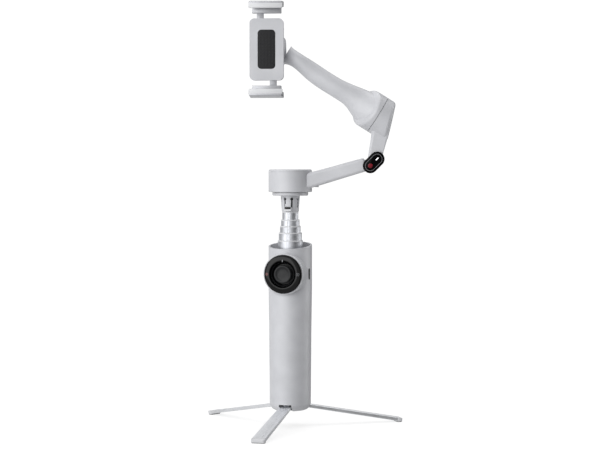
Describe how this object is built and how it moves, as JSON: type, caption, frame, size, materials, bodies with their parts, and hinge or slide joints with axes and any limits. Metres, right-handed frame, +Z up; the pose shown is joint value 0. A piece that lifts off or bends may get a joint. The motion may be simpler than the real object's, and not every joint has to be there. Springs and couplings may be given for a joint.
{
  "type": "phone gimbal stabilizer",
  "caption": "Three-axis phone stabilizer: round grip with control wheel, telescopic rod, folding motor arms, sprung phone clamp and fold-out tripod legs.",
  "frame": {"origin": "mouth of the tripod thread, in the middle of the handle's bottom", "axes": "+Z up the handle towards the phone, -Y the front with the control wheel, +X the handle's right side seen from the front"},
  "size_m": [0.1789, 0.1544, 0.3612],
  "materials": {
    "grey_housing": "fine matte light grey polycarbonate",
    "light_plastic": "satin off-white plastic",
    "black_gloss": "polished black",
    "black_plastic": "satin black",
    "leg_aluminium": "bead-blasted, anodised silver grey",
    "foot_plastic": "satin light grey",
    "rod_aluminium": "polished and anodised silver",
    "rubber_pad": "matte rubber",
    "steel": "satin steel",
    "copper_windings": "enamelled copper wire",
    "magnet": "nickel plated",
    "battery_wrap": "heat-shrink film",
    "circuit_board": "solder mask",
    "brass_insert": "machined brass",
    "status_lamp": "red and white light pipes"
  },
  "bodies": {
    "handle": {"handle_shell": "grey_housing", "handle_base": "grey_housing", "rod_guide": "black_plastic", "battery_cells": "battery_wrap", "battery_cradle": "black_plastic", "main_board": "circuit_board", "usb_socket": "steel", "trigger_pin": "steel", "tripod_hub": "black_plastic", "leg_hinge_pins": "steel", "tripod_socket": "brass_insert", "joystick_bowl": "black_plastic", "joystick_base": "black_plastic", "wheel_seat": "black_plastic"},
    "ring_carrier": {"ring_carrier": "black_plastic"},
    "control_ring": {"control_ring": "black_gloss"},
    "joystick_yoke": {"joystick_yoke": "black_plastic"},
    "joystick": {"joystick_cap": "black_plastic"},
    "trigger": {"trigger": "grey_housing"},
    "power_button": {"power_button": "black_plastic"},
    "leg_1": {"leg_bar_1": "leg_aluminium", "leg_tip_1": "foot_plastic"},
    "leg_2": {"leg_bar_2": "leg_aluminium", "leg_tip_2": "foot_plastic"},
    "leg_3": {"leg_bar_3": "leg_aluminium", "leg_tip_3": "foot_plastic"},
    "stage_5": {"rod_stage_5": "rod_aluminium"},
    "stage_4": {"rod_stage_4": "rod_aluminium"},
    "stage_3": {"rod_stage_3": "rod_aluminium"},
    "stage_2": {"rod_stage_2": "rod_aluminium"},
    "rod_top": {"rod_stage_1": "rod_aluminium", "rod_collar": "grey_housing", "latch_tab": "light_plastic", "pan_base": "grey_housing", "pan_stator": "copper_windings", "pan_bearing": "steel"},
    "pan_head": {"pan_arm": "grey_housing", "pan_cap": "grey_housing", "pan_magnets": "magnet", "badge_bezel": "black_gloss", "status_window": "black_gloss", "status_lamps": "status_lamp", "fold_pin": "steel"},
    "roll_link": {"roll_arm": "grey_housing", "roll_stator": "copper_windings"},
    "tilt_link": {"tilt_arm": "grey_housing", "roll_magnets": "magnet", "tilt_stator": "copper_windings"},
    "tilt_head": {"tilt_rotor": "grey_housing", "tilt_magnets": "magnet", "mount_plate": "steel", "mount_magnets": "magnet"},
    "clamp": {"clamp_body": "grey_housing", "clamp_cover": "light_plastic", "clamp_spring": "steel"},
    "pinion": {"clamp_pinion": "steel"},
    "upper_jaw": {"jaw_upper": "light_plastic", "jaw_pad_upper": "rubber_pad"},
    "lower_jaw": {"jaw_lower": "light_plastic", "jaw_pad_lower": "rubber_pad"}
  },
  "joints": [
    {"name": "leg_fold_1", "type": "hinge", "parent": "handle", "child": "leg_1", "pos_m": [0, -0.0125, 0.0036], "axis": [1, 0, 0], "range_deg": [0, 78]},
    {"name": "leg_fold_2", "type": "hinge", "parent": "handle", "child": "leg_2", "pos_m": [0.01083, 0.00625, 0.0036], "axis": [-0.5, 0.866, 0], "range_deg": [0, 78]},
    {"name": "leg_fold_3", "type": "hinge", "parent": "handle", "child": "leg_3", "pos_m": [-0.01083, 0.00625, 0.0036], "axis": [-0.5, -0.866, 0], "range_deg": [0, 78]},
    {"name": "extend_5", "type": "slide", "parent": "handle", "child": "stage_5", "axis": [0, 0, 1], "range_m": [-0.0188, 0.02]},
    {"name": "extend_4", "type": "slide", "parent": "stage_5", "child": "stage_4", "axis": [0, 0, 1], "range_m": [-0.0064, 0.037]},
    {"name": "extend_3", "type": "slide", "parent": "stage_4", "child": "stage_3", "axis": [0, 0, 1], "range_m": [-0.0053, 0.038]},
    {"name": "extend_2", "type": "slide", "parent": "stage_3", "child": "stage_2", "axis": [0, 0, 1], "range_m": [-0.0053, 0.038]},
    {"name": "extend_1", "type": "slide", "parent": "stage_2", "child": "rod_top", "axis": [0, 0, 1], "range_m": [-0.0066, 0.036]},
    {"name": "pan", "type": "hinge", "parent": "rod_top", "child": "pan_head", "pos_m": [0, 0, 0.196], "axis": [0, 0, 1], "range_deg": [-187, 77]},
    {"name": "fold", "type": "hinge", "parent": "pan_head", "child": "roll_link", "pos_m": [0.07178, 0.00822, 0.212], "axis": [-0.9806, -0.1959, 0], "range_deg": [0, 120]},
    {"name": "roll", "type": "hinge", "parent": "roll_link", "child": "tilt_link", "pos_m": [0.07418, 0.0087, 0.2521], "axis": [-0.8114, -0.251, 0.5279], "range_deg": [-225, 60]},
    {"name": "tilt", "type": "hinge", "parent": "tilt_link", "child": "tilt_head", "pos_m": [-0.01883, -0.00121, 0.3067], "axis": [0.9806, 0.1959, 0], "range_deg": [-98, 210]},
    {"name": "clamp_release", "type": "slide", "parent": "tilt_head", "child": "clamp", "axis": [0.1959, -0.9806, 0], "range_m": [0, 0.03]},
    {"name": "jaw_open", "type": "slide", "parent": "clamp", "child": "upper_jaw", "axis": [0, 0, 1], "range_m": [-0.00375, 0.00625], "stiffness_N_per_m": 300},
    {"name": "jaw_follow", "type": "slide", "parent": "clamp", "child": "lower_jaw", "axis": [0, 0, 1], "range_m": [-0.00625, 0.00375]},
    {"name": "pinion_spin", "type": "hinge", "parent": "clamp", "child": "pinion", "pos_m": [-0.01508, -0.01994, 0.3067], "axis": [-0.1959, 0.9806, 0], "range_deg": [-101, 168]},
    {"name": "ring_rock_x", "type": "hinge", "parent": "handle", "child": "ring_carrier", "pos_m": [0, -0.0198, 0.1174], "axis": [1, 0, 0], "range_deg": [-1.2, 1.2], "stiffness_Nm_per_rad": 0.6},
    {"name": "ring_rock_z", "type": "hinge", "parent": "ring_carrier", "child": "control_ring", "pos_m": [0, -0.0198, 0.1174], "axis": [0, 0, 1], "range_deg": [-1.2, 1.2], "stiffness_Nm_per_rad": 0.6},
    {"name": "joystick_x", "type": "hinge", "parent": "handle", "child": "joystick_yoke", "pos_m": [0, -0.016, 0.1174], "axis": [1, 0, 0], "range_deg": [-10, 10], "stiffness_Nm_per_rad": 0.02},
    {"name": "joystick_z", "type": "hinge", "parent": "joystick_yoke", "child": "joystick", "pos_m": [0, -0.016, 0.1174], "axis": [0, 0, 1], "range_deg": [-10, 10], "stiffness_Nm_per_rad": 0.02},
    {"name": "trigger_press", "type": "hinge", "parent": "handle", "child": "trigger", "pos_m": [0, 0.0169, 0.1274], "axis": [-1, 0, 0], "range_deg": [0, 6], "stiffness_Nm_per_rad": 0.3, "springref_deg": -2.86},
    {"name": "power_press", "type": "slide", "parent": "handle", "child": "power_button", "axis": [-0.9659, 0.2588, 0], "range_m": [0, 0.0006], "stiffness_N_per_m": 900, "springref_m": -0.0003}
  ],
  "couplings": [
    {"joint": "jaw_follow", "follows": "jaw_open", "ratio": -1},
    {"joint": "pinion_spin", "follows": "jaw_open", "rad_per_m": 465}
  ]
}
